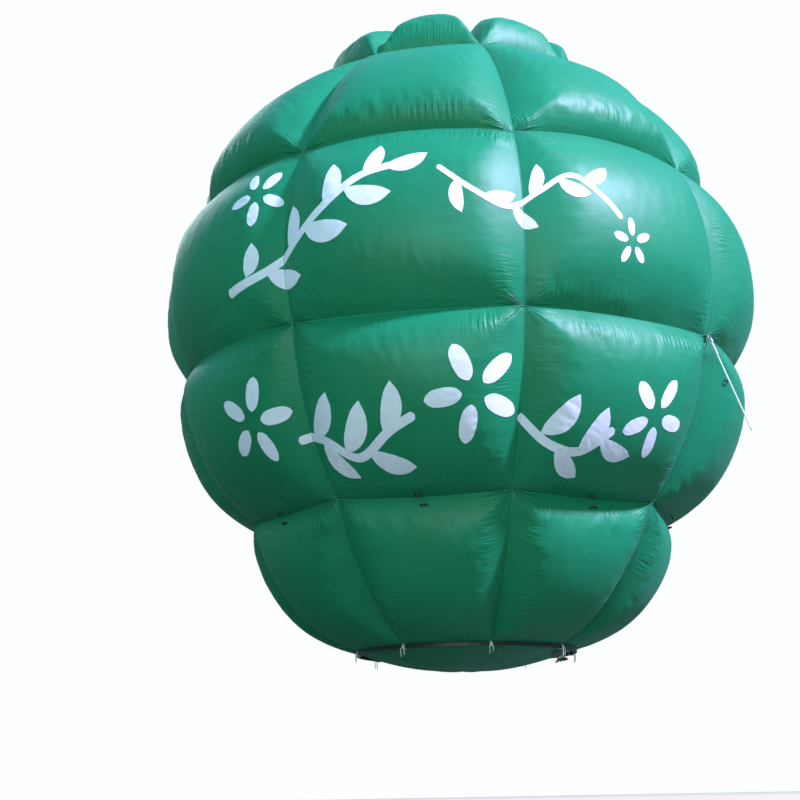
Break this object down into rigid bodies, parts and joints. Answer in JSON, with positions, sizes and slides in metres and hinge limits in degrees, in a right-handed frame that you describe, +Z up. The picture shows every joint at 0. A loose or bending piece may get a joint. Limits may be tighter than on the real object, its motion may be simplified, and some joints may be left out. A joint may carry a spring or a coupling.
{
  "type": "hot air balloon shaped inflatable",
  "caption": "Quilted balloon-shaped inflatable: gores of pinched cloth pillows, crown patch, bulging bottom panel, steel base hoop, filling sleeve and guys on swinging D-rings",
  "frame": {"origin": "centre of the base hoop, at the height of the envelope's lowest seam", "axes": "+Z up, -Y towards the viewer of the picture, +X to the viewer's right"},
  "size_m": [4.9512, 4.9512, 5.4008],
  "materials": {
    "cloth": "satin",
    "webbing": "matte",
    "sleeve": "matte",
    "rope": "matte",
    "hoop": "satin",
    "ring": "satin"
  },
  "bodies": {
    "envelope": {"crown_panel_1": "cloth", "crown_panel_2": "cloth", "crown_panel_3": "cloth", "crown_panel_4": "cloth", "crown_panel_5": "cloth", "crown_panel_6": "cloth", "crown_panel_7": "cloth", "crown_panel_8": "cloth", "upper_panel_1": "cloth", "upper_panel_2": "cloth", "upper_panel_3": "cloth", "upper_panel_4": "cloth", "upper_panel_5": "cloth", "upper_panel_6": "cloth", "upper_panel_7": "cloth", "upper_panel_8": "cloth", "middle_panel_1": "cloth", "middle_panel_2": "cloth", "middle_panel_3": "cloth", "middle_panel_4": "cloth", "middle_panel_5": "cloth", "middle_panel_6": "cloth", "middle_panel_7": "cloth", "middle_panel_8": "cloth", "lower_panel_1": "cloth", "lower_panel_2": "cloth", "lower_panel_3": "cloth", "lower_panel_4": "cloth", "lower_panel_5": "cloth", "lower_panel_6": "cloth", "lower_panel_7": "cloth", "lower_panel_8": "cloth", "base_panel_1": "cloth", "base_panel_2": "cloth", "base_panel_3": "cloth", "base_panel_4": "cloth", "base_panel_5": "cloth", "base_panel_6": "cloth", "base_panel_7": "cloth", "base_panel_8": "cloth", "crown_patch": "cloth", "bottom_panel": "cloth", "base_hoop": "hoop", "filling_sleeve": "sleeve", "crown_loop": "webbing", "guy_loop_right": "webbing", "guy_loop_left": "webbing", "guy_loop_rear": "webbing"},
    "guy_right": {"guy_ring_right": "ring", "guy_rope_right": "rope"},
    "guy_left": {"guy_ring_left": "ring", "guy_rope_left": "rope"},
    "guy_rear": {"guy_ring_rear": "ring", "guy_rope_rear": "rope"},
    "crown_ring": {"crown_ring": "ring"}
  },
  "joints": [
    {"name": "guy_right_swing", "type": "hinge", "parent": "envelope", "child": "guy_right", "pos_m": [1.92702, -1.24188, 2.26945], "axis": [-0.5417, -0.8406, 0], "range_deg": [-20, 45]},
    {"name": "guy_left_swing", "type": "hinge", "parent": "envelope", "child": "guy_left", "pos_m": [-1.92702, 1.24188, 2.26945], "axis": [0.5417, 0.8406, 0], "range_deg": [-20, 45]},
    {"name": "guy_rear_swing", "type": "hinge", "parent": "envelope", "child": "guy_rear", "pos_m": [1.24188, 1.92702, 2.26945], "axis": [0.8406, -0.5417, 0], "range_deg": [-20, 45]},
    {"name": "crown_ring_lift", "type": "hinge", "parent": "envelope", "child": "crown_ring", "pos_m": [0, 0, 5.1123], "axis": [1, 0, 0], "range_deg": [0, 90]}
  ]
}
